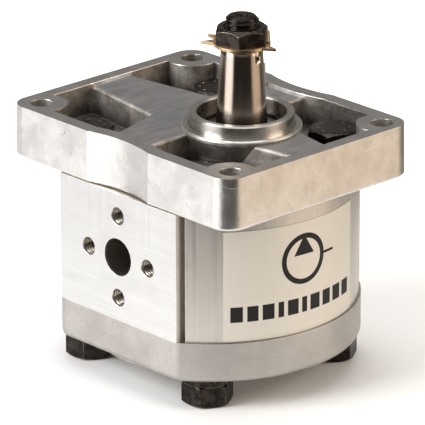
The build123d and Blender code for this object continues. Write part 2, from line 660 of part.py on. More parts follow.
with BuildPart() as woodruff_key:
    with Locations(Location((0, key_seat_y, KEY_Z), (0, 1, 0), 90)):
        Cylinder(KEY_R, KEY_W)
    with Locations((0, key_seat_y - KEY_R + KEY_HEIGHT, KEY_Z)):
        Box(
            2 * KEY_R, 4 * KEY_R, 4 * KEY_R,
            align=(Align.CENTER, Align.MIN, Align.CENTER), mode=Mode.SUBTRACT,
        )
save(woodruff_key.part, "woodruff_key")

# ---------------------------------------------------------------- data label
with BuildPart() as data_label:
    with BuildSketch(Plane((PUMP_X, 0, LABEL_TOP - LABEL_HEIGHT))):
        with BuildLine():
            outer = CenterArc((0, 0), HOUSING_R + LABEL_T, LABEL_FROM, LABEL_TO - LABEL_FROM)
            inner = CenterArc((0, 0), HOUSING_R, LABEL_FROM, LABEL_TO - LABEL_FROM)
            Line(inner @ 0, outer @ 0)
            Line(inner @ 1, outer @ 1)
        make_face()
    extrude(amount=LABEL_HEIGHT)
save(data_label.part, "data_label")
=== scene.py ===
import json
from math import cos, radians, sin, tau

import bmesh
import bpy
from mathutils import Matrix, Vector


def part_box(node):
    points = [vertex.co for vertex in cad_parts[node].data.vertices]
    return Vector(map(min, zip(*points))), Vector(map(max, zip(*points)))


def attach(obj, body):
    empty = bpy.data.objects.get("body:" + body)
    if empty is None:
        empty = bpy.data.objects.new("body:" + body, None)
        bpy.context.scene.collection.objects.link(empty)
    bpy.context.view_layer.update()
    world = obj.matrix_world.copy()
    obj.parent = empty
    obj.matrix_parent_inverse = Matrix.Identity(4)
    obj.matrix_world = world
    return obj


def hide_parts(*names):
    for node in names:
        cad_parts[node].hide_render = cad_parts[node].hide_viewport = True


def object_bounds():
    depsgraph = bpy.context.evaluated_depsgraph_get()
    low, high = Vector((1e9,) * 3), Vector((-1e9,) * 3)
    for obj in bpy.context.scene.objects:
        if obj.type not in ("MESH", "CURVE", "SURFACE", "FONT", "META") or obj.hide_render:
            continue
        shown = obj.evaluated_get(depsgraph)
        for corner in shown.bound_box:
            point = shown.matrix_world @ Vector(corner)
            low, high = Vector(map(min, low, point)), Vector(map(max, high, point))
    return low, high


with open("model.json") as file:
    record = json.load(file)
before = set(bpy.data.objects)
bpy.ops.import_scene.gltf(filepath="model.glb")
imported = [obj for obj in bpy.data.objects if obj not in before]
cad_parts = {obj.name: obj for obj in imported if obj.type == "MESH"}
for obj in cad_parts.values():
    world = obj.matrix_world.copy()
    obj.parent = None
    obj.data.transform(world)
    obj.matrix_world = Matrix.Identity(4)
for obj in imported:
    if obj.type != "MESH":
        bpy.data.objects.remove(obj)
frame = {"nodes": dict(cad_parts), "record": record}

# Looks of an external gear pump: a cast flange, an extruded housing, a blasted cover, black steel
# fasteners, a ground taper shaft and a printed label. Metres, in the CAD model's own frame, with
# material patterns in millimetres.

MM = 0.001
CAD_LOW, CAD_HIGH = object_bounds()
NODES = frame["nodes"]
MOUNTS = {mount["name"]: mount for mount in frame["record"]["mounts"]}
PUMP_X = MOUNTS["mounting_bolts"]["pos_m"][0]       # middle of the housing
PORT_Z = MOUNTS["outlet_port"]["pos_m"][2]
scene = bpy.context.scene

# Sizes that the looks need, in millimetres from the mounting face and the drive shaft's axis
PUMP_X_MM = PUMP_X / MM
RIM_TOP, WEB_TOP = 0.0, -1.0
POCKETS_X, POCKETS_Y, POCKETS_FLOOR = 51.4, 39.6, -13.0     # half the pockets' reach, and their depth
TURNED_R, PILOT_BORE_R = 20.5, 15.5
RIM_CUTTER_Y = 140.0                # the cutter that milled the rim swept round this point
PAD_CUTTER_X, PAD_CUTTER_Z = 60.0, -62.0
PAD_Y = 43.6
TAPER_END = 28.8
PUNCH_Y, PUNCH_Z = 0.5, TAPER_END - 3.5

# The label's print, in millimetres from the middle of the label
LABEL_FROM, LABEL_TO = radians(-38.6), radians(24.6)
SYMBOL_X, SYMBOL_Z, SYMBOL_R, SYMBOL_LINE = 1.5, 6.6, 9.2, 1.9
TRIANGLE_FOOT, TRIANGLE_SLOPE = 1.5, 0.6
STUB_LENGTH, STUB_HALF = 5.0, 0.5
PRINT_SOFT = 0.06
BARS_BOTTOM, BARS_TOP, BARS_GAP, BARS_MARGIN = -13.0, -7.4, 1.5, 2.4
LABEL_BARS = (4.4, 4.0, 4.4, 2.2, 4.4, 2.2, 4.4, 4.0, 4.4, 4.4)     # their widths, from left to right


# ---------------------------------------------------------------- camera
CAMERA_TURN = radians(46.897)       # from straight in front (-Y), towards +X
CAMERA_RISE = radians(20.611)
CAMERA_ROLL = radians(-0.084)
CAMERA_DISTANCE = 1.5972
CAMERA_OFFSET = Vector((0.01008, 0.03065))      # of the origin in the view, right and up
CAMERA_LENS = 392.9

TO_CAMERA = Vector((sin(CAMERA_TURN), -cos(CAMERA_TURN), 0))
TO_RIGHT = Vector((cos(CAMERA_TURN), sin(CAMERA_TURN), 0))


def add_camera():
    back = TO_CAMERA * cos(CAMERA_RISE) + Vector((0, 0, sin(CAMERA_RISE)))
    up = back.cross(TO_RIGHT)
    right = TO_RIGHT * cos(CAMERA_ROLL) + up * sin(CAMERA_ROLL)
    up = up * cos(CAMERA_ROLL) - TO_RIGHT * sin(CAMERA_ROLL)
    turn = Matrix((right, up, back)).transposed()
    camera = bpy.data.objects.new("camera", bpy.data.cameras.new("camera"))
    camera.data.lens = CAMERA_LENS
    camera.data.sensor_width = 36
    camera.data.clip_end = 20
    place = turn @ Vector((-CAMERA_OFFSET.x, -CAMERA_OFFSET.y, CAMERA_DISTANCE))
    camera.matrix_world = Matrix.Translation(place) @ turn.to_4x4()
    scene.collection.objects.link(camera)
    scene.camera = camera


# ---------------------------------------------------------------- node helpers
BEVEL_SAMPLES = 6


class Graph:
    """Short names for the shader nodes that the materials are made of."""

    def __init__(self, tree):
        self.tree = tree

    def add(self, kind, **settings):
        node = self.tree.nodes.new("ShaderNode" + kind)
        for name, value in settings.items():
            setattr(node, name, value)
        return node

    def put(self, value, socket):
        if isinstance(value, bpy.types.NodeSocket):
            self.tree.links.new(value, socket)
        else:
            socket.default_value = value

    def place(self, scale=(1, 1, 1), centre=(0, 0, 0)):
        """Object coordinates in millimetres from a centre, stretched by a scale."""
        mapping = self.add("Mapping")
        self.tree.links.new(self.add("TexCoord").outputs["Object"], mapping.inputs["Vector"])
        mapping.inputs["Scale"].default_value = [s / MM for s in scale]
        mapping.inputs["Location"].default_value = [-c / MM * s for c, s in zip(centre, scale)]
        return mapping.outputs["Vector"]

    def noise(self, vector, scale, detail, roughness):
        node = self.add("TexNoise")
        self.put(vector, node.inputs["Vector"])
        node.inputs["Scale"].default_value = scale
        node.inputs["Detail"].default_value = detail
        node.inputs["Roughness"].default_value = roughness
        return node.outputs["Fac"]

    def cells(self, vector, scale):
        node = self.add("TexVoronoi", feature="F1")
        self.put(vector, node.inputs["Vector"])
        node.inputs["Scale"].default_value = scale
        return node.outputs["Distance"]

    def math(self, operation, first, second=0.0, third=0.0):
        node = self.add("Math", operation=operation)
        for value, socket in zip((first, second, third), node.inputs):
            self.put(value, socket)
        return node.outputs[0]

    def length(self, first, second):
        """Distance from the origin of two values."""
        squares = (self.math("MULTIPLY", value, value) for value in (first, second))
        return self.math("SQRT", self.math("ADD", *squares))

    def remap(self, value, low, high, to_low=0.0, to_high=1.0, smooth=True):
        node = self.add("MapRange", interpolation_type="SMOOTHSTEP" if smooth else "LINEAR")
        for one, socket in zip((value, low, high, to_low, to_high), node.inputs):
            self.put(one, socket)
        return node.outputs["Result"]

    def split(self, vector):
        node = self.add("SeparateXYZ")
        self.put(vector, node.inputs[0])
        return node.outputs

    def join(self, x, y):
        node = self.add("CombineXYZ")
        self.put(x, node.inputs["X"])
        self.put(y, node.inputs["Y"])
        return node.outputs[0]

    def blend(self, factor, first, second):
        node = self.add("Mix", data_type="RGBA")
        self.put(factor, node.inputs["Factor"])
        for value, name in ((first, "A"), (second, "B")):
            socket = next(s for s in node.inputs if s.name == name and s.type == "RGBA")
            self.put(value if isinstance(value, bpy.types.NodeSocket) else (*value, 1), socket)
        return next(s for s in node.outputs if s.type == "RGBA")

    def bump(self, height, depth, strength=1.0, normal=None):
        """Bump whose height of 1 stands for a depth in millimetres."""
        node = self.add("Bump")
        node.inputs["Strength"].default_value = strength
        node.inputs["Distance"].default_value = depth * MM
        self.put(height, node.inputs["Height"])
        if normal is not None:
            self.put(normal, node.inputs["Normal"])
        return node.outputs["Normal"]

    def object_normal(self):
        return self.split(self.add("TexCoord").outputs["Normal"])

    def between(self, value, low, high, soft=0.2):
        """1 where a value lies between two limits."""
        rise = self.remap(value, low - soft, low + soft)
        return self.math("MULTIPLY", rise, self.remap(value, high - soft, high + soft, 1.0, 0.0))

    def waves(self, value, pitch):
        """Even ridges along a value in millimetres, from 0 to 1."""
        turn = self.math("SINE", self.math("MULTIPLY", value, tau / pitch))
        return self.math("MULTIPLY_ADD", turn, 0.5, 0.5)

    def all_of(self, *masks):
        result = masks[0]
        for mask in masks[1:]:
            result = self.math("MULTIPLY", result, mask)
        return result

    def rounded(self, radius):
        """(normal rounded over the edges by a radius in millimetres, mask of those edges)"""
        bevel = self.add("Bevel", samples=BEVEL_SAMPLES)
        bevel.inputs["Radius"].default_value = radius * MM
        flat = self.add("NewGeometry").outputs["Normal"]
        match = self.add("VectorMath", operation="DOT_PRODUCT")
        self.put(bevel.outputs["Normal"], match.inputs[0])
        self.put(flat, match.inputs[1])
        return bevel.outputs["Normal"], self.remap(match.outputs["Value"], 0.995, 0.93, smooth=False)


def new_material(name, metallic=1.0, **fixed):
    """(material, its graph, its shader). Values that are the same all over go straight to the shader."""
    material = bpy.data.materials.new(name)
    material.use_nodes = True
    graph = Graph(material.node_tree)
    shader = material.node_tree.nodes["Principled BSDF"]
    shader.inputs["Metallic"].default_value = metallic
    for socket, value in fixed.items():
        shader.inputs[socket.replace("_", " ")].default_value = value
    return material, graph, shader


def finish_shader(graph, shader, colour, roughness, normal):
    graph.put(colour, shader.inputs["Base Color"])
    graph.put(roughness, shader.inputs["Roughness"])
    graph.put(normal, shader.inputs["Normal"])


# ---------------------------------------------------------------- castings and housing
def cast_flange_look():
    """Blasted die casting: milled rim, turned pilot, rough pockets darkened with painted shade, smeared
    milled web tops.
    """
    material, g, shader = new_material("cast_flange_look", Anisotropic_Rotation=0.25)
    place = g.place()
    x, y, z = g.split(place)
    g.put(g.join(g.math("MULTIPLY", y, -1.0), x), shader.inputs["Tangent"])
    up = g.object_normal()[2]
    blotch = g.noise(place, 0.11, 5, 0.62)
    grain = g.noise(place, 0.9, 4, 0.7)
    pits = g.remap(g.cells(place, 0.42), 0.10, 0.22)
    radius = g.length(x, y)

    inside = g.all_of(
        g.between(g.math("SUBTRACT", x, PUMP_X_MM - 0.8), -POCKETS_X, POCKETS_X),
        g.between(y, -POCKETS_Y, POCKETS_Y),
        g.between(z, POCKETS_FLOOR, RIM_TOP - 0.25, 0.1),
    )
    faces_up = g.remap(up, 0.9, 0.97)
    outside_ring = g.remap(radius, TURNED_R + 0.1, TURNED_R + 0.4)
    rim_top = g.all_of(faces_up, g.between(z, RIM_TOP - 0.2, RIM_TOP + 0.2, 0.05), outside_ring)
    web_top = g.all_of(faces_up, g.between(z, WEB_TOP - 0.1, WEB_TOP + 0.1, 0.05))
    turned = g.all_of(g.between(radius, 0.0, TURNED_R), g.remap(z, RIM_TOP - 0.05, RIM_TOP + 0.05))

    # cast skin outside, with grain, scratches and flow marks; in the pockets painted shade, deepest
    # towards their floor, and coarse grain
    raw = g.blend(g.remap(blotch, 0.35, 0.65), (0.66, 0.64, 0.61), (0.76, 0.74, 0.71))
    raw = g.blend(g.remap(grain, 0.58, 0.78, 0.0, 0.45), raw, (0.40, 0.37, 0.34))
    scratch = g.noise(g.place((0.12, 0.12, 2.4)), 1.0, 3, 0.7)
    raw = g.blend(g.remap(scratch, 0.60, 0.75, 0.0, 0.4), raw, (0.45, 0.43, 0.40))
    # the pockets' colour is darker than the skin outside: painted shade in the recesses
    dark = g.blend(g.remap(blotch, 0.38, 0.62), (0.30, 0.27, 0.24), (0.53, 0.495, 0.46))
    # painted shade, growing darker towards the pockets' floor
    deep_pocket_shade = g.remap(z, -11.6, -5.5, 0.85, 0.15)
    dark = g.blend(deep_pocket_shade, dark, (0.13, 0.112, 0.10))
    coarse = g.noise(place, 0.55, 5, 0.75)
    dark = g.blend(g.remap(coarse, 0.46, 0.70, 0.0, 0.55), dark, (0.13, 0.112, 0.098))
    flow = g.between(g.noise(g.place((1, 1, 2.2)), 0.028, 2, 0.4), 0.486, 0.492, 0.004)
    flow = g.math("MULTIPLY", flow, g.remap(g.noise(place, 0.06, 2, 0.5), 0.45, 0.6))
    raw = g.blend(g.math("MULTIPLY", flow, 0.25), raw, (0.40, 0.37, 0.34))
    raw = g.blend(g.remap(coarse, 0.52, 0.72, 0.0, 0.35), raw, (0.42, 0.395, 0.37))
    colour = g.blend(inside, raw, dark)

    # cutter arcs on the rim and smears on the web tops
    arc = g.length(g.math("SUBTRACT", x, PUMP_X_MM), g.math("SUBTRACT", y, RIM_CUTTER_Y))
    wander = g.noise(place, 0.25, 3, 0.6)
    arc_lines = g.waves(g.math("ADD", arc, g.math("MULTIPLY", wander, 1.2)), 1.1)
    smear = g.noise(g.place((0.25, 0.05, 0.2)), 1.0, 4, 0.65)
    milled = g.blend(g.math("MULTIPLY", arc_lines, 0.35), (0.37, 0.355, 0.34), (0.315, 0.30, 0.285))
    colour = g.blend(rim_top, colour, milled)
    web = g.blend(g.remap(smear, 0.35, 0.65), (0.215, 0.21, 0.21), (0.27, 0.26, 0.255))
    colour = g.blend(web_top, colour, web)
    # turned ring, with painted shade on the bore's wall inside it
    outside_bore_shade = g.remap(radius, PILOT_BORE_R - 0.1, PILOT_BORE_R + 0.3)
    ring = g.blend(outside_bore_shade, (0.24, 0.205, 0.175), (0.58, 0.55, 0.515))
    colour = g.blend(turned, colour, ring)
    soft_normal, edge = g.rounded(0.08)
    scuffs = g.remap(g.noise(place, 0.5, 3, 0.6), 0.42, 0.6)
    colour = g.blend(g.math("MULTIPLY", g.all_of(edge, scuffs), 0.5), colour, (0.86, 0.85, 0.83))

    rough = g.remap(blotch, 0.3, 0.7, 0.28, 0.36)
    rough = g.math("ADD", rough, g.math("MULTIPLY", inside, 0.24))
    rough = g.math("SUBTRACT", rough, g.math("MULTIPLY", turned, 0.04))
    rough = g.math("ADD", rough, g.math("MULTIPLY", rim_top, 0.10))
    g.put(g.math("MULTIPLY", turned, 0.85), shader.inputs["Anisotropic"])

    raw_mask = g.math("SUBTRACT", 1.0, g.math("MAXIMUM", g.math("MAXIMUM", rim_top, turned), web_top))
    height = g.math("MULTIPLY_ADD", grain, 0.5, g.math("MULTIPLY", blotch, 0.8))
    height = g.math("MULTIPLY_ADD", pits, 0.25, height)
    height = g.math("MULTIPLY_ADD", flow, -0.3, height)
    height = g.math("MULTIPLY", height, raw_mask)
    height = g.math("MULTIPLY_ADD", g.math("MULTIPLY", coarse, inside), 1.6, height)
    normal = g.bump(height, 0.16, 0.6, soft_normal)
    lines = g.math("MULTIPLY", arc_lines, rim_top)
    lines = g.math("MULTIPLY_ADD", smear, web_top, lines)
    turning = g.waves(g.math("ADD", radius, z), 0.45)
    lines = g.math("MULTIPLY_ADD", turning, g.math("MULTIPLY", turned, 0.45), lines)
    normal = g.bump(lines, 0.012, 0.4, normal)
    finish_shader(g, shader, colour, rough, normal)
    return material


def extruded_body_look():
    """Extruded bar with streaks along the shafts' direction, and milled port pads."""
    material, g, shader = new_material("extruded_body_look")
    place = g.place()
    x, y, z = g.split(place)
    out = g.math("ABSOLUTE", y)
    sideways = g.math("ABSOLUTE", g.object_normal()[1])
    pad = g.all_of(g.remap(out, PAD_Y - 0.1, PAD_Y + 0.1), g.remap(sideways, 0.9, 0.97))
    streak = g.noise(g.place((1, 1, 0.012)), 0.9, 4, 0.7)
    fine = g.noise(g.place((1, 1, 0.03)), 4.5, 3, 0.7)
    blotch = g.noise(place, 0.12, 4, 0.6)
    colour = g.blend(g.remap(streak, 0.32, 0.68), (0.60, 0.565, 0.515), (0.66, 0.625, 0.575))
    colour = g.blend(g.remap(blotch, 0.5, 0.75, 0.0, 0.35), colour, (0.54, 0.50, 0.455))

    # sweeps of the milling cutter along each pad
    sweep = g.length(g.math("SUBTRACT", z, PAD_CUTTER_Z), g.math("SUBTRACT", x, PAD_CUTTER_X))
    sweeps = g.waves(g.math("ADD", sweep, g.noise(place, 0.2, 2, 0.5)), 0.9)
    brush = g.noise(g.place((0.02, 1, 1)), 1.6, 4, 0.7)
    milled = g.blend(g.remap(brush, 0.3, 0.7), (0.64, 0.63, 0.615), (0.71, 0.70, 0.685))
    milled = g.blend(g.math("MULTIPLY", sweeps, 0.22), milled, (0.56, 0.55, 0.54))
    stain = g.remap(g.noise(g.place((0.5, 1, 1)), 0.07, 3, 0.5), 0.5, 0.7, 0.0, 0.5)
    milled = g.blend(stain, milled, (0.58, 0.57, 0.56))
    colour = g.blend(pad, colour, milled)
    soft_normal, edge = g.rounded(0.25)
    colour = g.blend(g.math("MULTIPLY", edge, 0.6), colour, (0.88, 0.87, 0.85))

    # painted shade on the walls of the holes behind the pads
    across = g.math("SUBTRACT", x, PUMP_X_MM)
    port_hole_shade = g.all_of(g.remap(out, PAD_Y - 0.6, PAD_Y - 1.0), g.between(across, -20.0, 20.0))
    colour = g.blend(g.math("MULTIPLY", port_hole_shade, 0.7), colour, (0.30, 0.26, 0.22))
    rough = g.remap(streak, 0.3, 0.7, 0.34, 0.48)
    rough = g.math("MULTIPLY_ADD", pad, -0.05, rough)
    height = g.math("MULTIPLY_ADD", fine, 0.6, streak)
    height = g.math("MULTIPLY", height, g.math("SUBTRACT", 1.0, pad))
    normal = g.bump(height, 0.015, 0.5, soft_normal)
    lines = g.math("MULTIPLY", g.math("MULTIPLY_ADD", brush, 0.8, g.math("MULTIPLY", sweeps, 0.3)), pad)
    normal = g.bump(lines, 0.02, 0.5, normal)
    finish_shader(g, shader, colour, rough, normal)
    return material


def cast_cover_look():
    """Fine-blasted casting, brighter along its edges."""
    material, g, shader = new_material("cast_cover_look")
    place = g.place()
    blotch = g.noise(place, 0.09, 5, 0.6)
    grain = g.noise(place, 2.6, 4, 0.65)
    colour = g.blend(g.remap(blotch, 0.35, 0.65), (0.42, 0.395, 0.37), (0.49, 0.465, 0.435))
    colour = g.blend(g.remap(grain, 0.52, 0.72, 0.0, 0.75), colour, (0.25, 0.225, 0.205))
    soft_normal, edge = g.rounded(0.3)
    colour = g.blend(g.math("MULTIPLY", edge, 0.5), colour, (0.86, 0.85, 0.83))
    rough = g.remap(blotch, 0.3, 0.7, 0.42, 0.55)
    height = g.math("MULTIPLY_ADD", grain, 0.7, g.math("MULTIPLY", blotch, 0.5))
    finish_shader(g, shader, colour, rough, g.bump(height, 0.12, 0.6, soft_normal))
    return material


# ---------------------------------------------------------------- steels
def black_steel_look():
    """Black oxide: brown-black, oily, worn to grey along the edges."""
    material, g, shader = new_material("black_steel_look")
    place = g.place()
    cloud = g.noise(place, 0.35, 4, 0.6)
    grain = g.noise(place, 2.2, 3, 0.6)
    colour = g.blend(g.remap(cloud, 0.35, 0.65), (0.018, 0.015, 0.013), (0.052, 0.042, 0.037))
    soft_normal, edge = g.rounded(0.35)
    rub = g.all_of(edge, g.remap(g.noise(place, 0.9, 3, 0.6), 0.40, 0.62))
    colour = g.blend(rub, colour, (0.34, 0.29, 0.25))
    rough = g.remap(cloud, 0.3, 0.7, 0.33, 0.46)
    height = g.math("MULTIPLY_ADD", grain, 0.5, cloud)
    finish_shader(g, shader, colour, rough, g.bump(height, 0.06, 0.6, soft_normal))
    return material


def ground_steel_look():
    """Hardened shaft: fine lines round it from grinding, and a blackened thread at its end."""
    material, g, shader = new_material("ground_steel_look", Anisotropic=0.92, Anisotropic_Rotation=0.25)
    g.put(g.add("Tangent", direction_type="RADIAL", axis="Z").outputs[0], shader.inputs["Tangent"])
    place = g.place()
    x, y, z = g.split(place)
    lines = g.noise(g.place((0.03, 0.03, 1)), 5.0, 3, 0.75)
    tint = g.noise(g.place((0.6, 0.6, 0.08)), 0.25, 3, 0.5)
    colour = g.blend(g.remap(tint, 0.35, 0.65), (0.38, 0.32, 0.265), (0.47, 0.405, 0.345))
    colour = g.blend(g.remap(lines, 0.55, 0.75, 0.0, 0.35), colour, (0.40, 0.36, 0.32))
    black = g.remap(z, TAPER_END - 0.2, TAPER_END + 0.1)
    colour = g.blend(black, colour, (0.028, 0.023, 0.020))
    soft_normal, edge = g.rounded(0.15)
    rubbed = g.remap(g.noise(place, 1.2, 3, 0.6), 0.35, 0.6, 0.0, 0.6)
    colour = g.blend(g.all_of(edge, rubbed), colour, (0.42, 0.37, 0.33))
    # painted shade in the punch mark's pit, which is also rougher
    reach = g.length(g.math("SUBTRACT", y, PUNCH_Y), g.math("SUBTRACT", z, PUNCH_Z))
    punched = g.all_of(g.remap(x, 5.0, 5.5), g.remap(reach, 0.5, 0.75, 1.0, 0.0))
    colour = g.blend(punched, colour, (0.13, 0.105, 0.09))
    rough = g.remap(lines, 0.3, 0.7, 0.18, 0.21)
    rough = g.math("MULTIPLY_ADD", black, 0.22, rough)
    rough = g.math("MULTIPLY_ADD", punched, 0.35, rough)
    finish_shader(g, shader, colour, rough, g.bump(lines, 0.0005, 0.25, soft_normal))
    return material


def simple_metal(name, light, dark, roughness, wear=(0.8, 0.78, 0.75)):
    """Metal of two mixed tints, with grain and brighter edges."""
    material, g, shader = new_material(name)
    place = g.place()
    cloud = g.noise(place, 0.5, 4, 0.6)
    grain = g.noise(place, 2.5, 3, 0.6)
    soft_normal, edge = g.rounded(0.12)
    colour = g.blend(g.remap(cloud, 0.35, 0.65), dark, light)
    colour = g.blend(g.math("MULTIPLY", edge, 0.4), colour, wear)
    rough = g.remap(cloud, 0.3, 0.7, roughness - 0.05, roughness + 0.07)
    finish_shader(g, shader, colour, rough, g.bump(grain, 0.03, 0.5, soft_normal))
    return material


def moulded(name, light, dark, roughness, sheen=0.0):
    """Rubber or nylon with a faint mould grain and dusty patches."""
    material, g, shader = new_material(name, metallic=0.0, Sheen_Weight=sheen)
    place = g.place()
    cloud = g.noise(place, 0.3, 4, 0.6)
    grain = g.noise(place, 3.0, 3, 0.6)
    colour = g.blend(g.remap(cloud, 0.35, 0.7), dark, light)
    rough = g.remap(grain, 0.3, 0.7, roughness - 0.06, roughness + 0.08)
    finish_shader(g, shader, colour, rough, g.bump(grain, 0.02, 0.4))
    return material


# ---------------------------------------------------------------- label
def label_look():
    """Satin film with a generic pump symbol, a circle round a filled triangle, over plain bars."""
    material, g, shader = new_material("label_film_look", metallic=0.3, Specular_IOR_Level=0.35)
    low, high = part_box("data_label")
    x, y, z = g.split(g.place(centre=(PUMP_X, 0, (low.z + high.z) / 2)))
    radius = (high.x - PUMP_X) / MM
    middle = (LABEL_FROM + LABEL_TO) / 2
    across = g.math("MULTIPLY", g.math("SUBTRACT", g.math("ARCTAN2", y, x), middle), radius)
    half_width = radius * (LABEL_TO - LABEL_FROM) / 2

    def rect(left, right, bottom, top):
        return g.all_of(g.between(across, left, right, PRINT_SOFT), g.between(z, bottom, top, PRINT_SOFT))

    # circle, a triangle whose point touches it, and the symbol's shaft line
    from_x = g.math("SUBTRACT", across, SYMBOL_X)
    from_z = g.math("SUBTRACT", z, SYMBOL_Z)
    ring = g.between(g.length(from_x, from_z), SYMBOL_R - SYMBOL_LINE, SYMBOL_R, PRINT_SOFT)
    reach = g.math("SUBTRACT", SYMBOL_R - 0.5, from_z)
    side = g.math("SUBTRACT", g.math("MULTIPLY", reach, TRIANGLE_SLOPE), g.math("ABSOLUTE", from_x))
    foot = g.remap(from_z, TRIANGLE_FOOT - PRINT_SOFT, TRIANGLE_FOOT + PRINT_SOFT)
    triangle = g.all_of(g.remap(side, -PRINT_SOFT, PRINT_SOFT), foot)
    stub_from = SYMBOL_X + SYMBOL_R
    stub = rect(stub_from, stub_from + STUB_LENGTH, SYMBOL_Z - STUB_HALF, SYMBOL_Z + STUB_HALF)
    ink = g.math("MAXIMUM", g.math("MAXIMUM", ring, triangle), stub)
    left = -half_width + BARS_MARGIN
    for width in LABEL_BARS:
        ink = g.math("MAXIMUM", ink, rect(left, left + width, BARS_BOTTOM, BARS_TOP))
        left += width + BARS_GAP
    worn = g.remap(g.noise(g.place(), 1.4, 4, 0.7), 0.70, 0.82, 0.0, 0.5)
    ink = g.math("MULTIPLY", ink, g.math("SUBTRACT", 1.0, worn))

    satin = g.noise(g.place((1, 1, 0.05)), 2.0, 3, 0.7)
    film = g.blend(g.remap(satin, 0.35, 0.65), (0.655, 0.61, 0.535), (0.675, 0.63, 0.555))
    colour = g.blend(ink, film, (0.012, 0.011, 0.011))
    rough = g.math("MULTIPLY_ADD", ink, 0.15, g.remap(satin, 0.3, 0.7, 0.36, 0.44))
    wrinkle = g.noise(g.place(), 0.06, 2, 0.5)
    finish_shader(g, shader, colour, rough, g.bump(wrinkle, 0.12, 0.25))
    return material


LOOKS = {
    "cast_flange": cast_flange_look(),
    "extruded_body": extruded_body_look(),
    "cast_cover": cast_cover_look(),
    "black_steel": black_steel_look(),
    "ground_steel": ground_steel_look(),
    "plain_steel": simple_metal("plain_steel_look", (0.56, 0.55, 0.53), (0.42, 0.41, 0.39), 0.33),
    "spring_steel": simple_metal("spring_steel_look", (0.10, 0.09, 0.085), (0.045, 0.04, 0.038), 0.42,
                                 wear=(0.3, 0.28, 0.26)),
    "zinc_steel": simple_metal("zinc_steel_look", (0.74, 0.53, 0.30), (0.50, 0.33, 0.17), 0.32),
    "block_alloy": simple_metal("block_alloy_look", (0.66, 0.65, 0.64), (0.52, 0.51, 0.50), 0.35),
    "bush_bronze": simple_metal("bush_bronze_look", (0.70, 0.47, 0.24), (0.55, 0.35, 0.18), 0.30),
    "seal_case_steel": simple_metal("seal_case_look", (0.10, 0.09, 0.085), (0.05, 0.045, 0.04), 0.5,
                                    wear=(0.2, 0.18, 0.16)),
    "seal_rubber": moulded("seal_rubber_look", (0.035, 0.034, 0.033), (0.018, 0.018, 0.018), 0.55, 0.1),
    "lip_rubber": moulded("lip_rubber_look", (0.045, 0.036, 0.032), (0.02, 0.017, 0.016), 0.5, 0.1),
    "backup_nylon": moulded("backup_nylon_look", (0.86, 0.84, 0.77), (0.76, 0.73, 0.64), 0.42),
    "label_film": label_look(),
    # threads of the port screw holes, darker than the housing: painted shade inside the holes
    "tapped_hole": simple_metal("tapped_hole_shade_look", (0.40, 0.355, 0.31), (0.17, 0.145, 0.12), 0.28,
                                wear=(0.62, 0.58, 0.53)),
}
for record_row in frame["record"]["subparts"]:
    NODES[record_row["node"]].material_slots[0].material = LOOKS[record_row["material_slot"]]


# ---------------------------------------------------------------- threads
AROUND_STEPS = 64
HOLE_ROWS, SHAFT_ROWS = 8, 12       # rows of points in one pitch
SMOOTH_ANGLE = radians(35)
SCREW_COUNT = 4


def thread_shape(phase):
    """Height of a 60 degree thread from 0 at its root to 1 at its flat crest, over one pitch."""
    rise = abs(phase % 1.0 - 0.5) * 2
    return min(1.0, max(0.0, 1.14 * (1 - rise) - 0.07))


def thread_ring(start, axis, along, pitch, root, height, limit=1.0):
    """One ring of points round an axis on a thread, which never reaches past a limiting radius."""
    side = axis.orthogonal().normalized()
    other = axis.cross(side)
    points = []
    for i in range(AROUND_STEPS):
        share = i / AROUND_STEPS
        ray = side * cos(tau * share) + other * sin(tau * share)
        radius = min(limit, root + height * thread_shape(along / pitch - share))
        points.append(start + axis * along + ray * radius)
    return points


def add_grid(mesh, rows):
    """Faces between rows of points that each go once round."""
    rings = [[mesh.verts.new(point) for point in row] for row in rows]
    for lower, upper in zip(rings, rings[1:]):
        for i, corner in enumerate(lower):
            after = (i + 1) % len(lower)
            mesh.faces.new((corner, lower[after], upper[after], upper[i]))


def new_piece(name, mesh, look, body):
    data = bpy.data.meshes.new(name)
    mesh.to_mesh(data)
    mesh.free()
    data.materials.append(LOOKS[look])
    data.shade_smooth()
    data.set_sharp_from_angle(angle=SMOOTH_ANGLE)
    piece = bpy.data.objects.new(name, data)
    scene.collection.objects.link(piece)
    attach(piece, body)
    return piece


def add_tapped_hole(name, mouth, inward):
    """The thread inside a port screw hole: ridges that stand in from the hole's wall."""
    wall, ridge, pitch, depth = 2.97 * MM, 0.5 * MM, 1.0 * MM, 12.0 * MM
    rows = []
    count = int(depth / pitch * HOLE_ROWS)
    for row in range(count + 1):
        along = depth * row / count
        fade = min(1.0, along / (0.7 * pitch), (depth - along) / pitch)
        rows.append(thread_ring(mouth, inward, along, pitch, wall, -ridge * fade))
    mesh = bmesh.new()
    add_grid(mesh, rows)
    bmesh.ops.reverse_faces(mesh, faces=mesh.faces)
    new_piece(name, mesh, "tapped_hole", "pump_body")


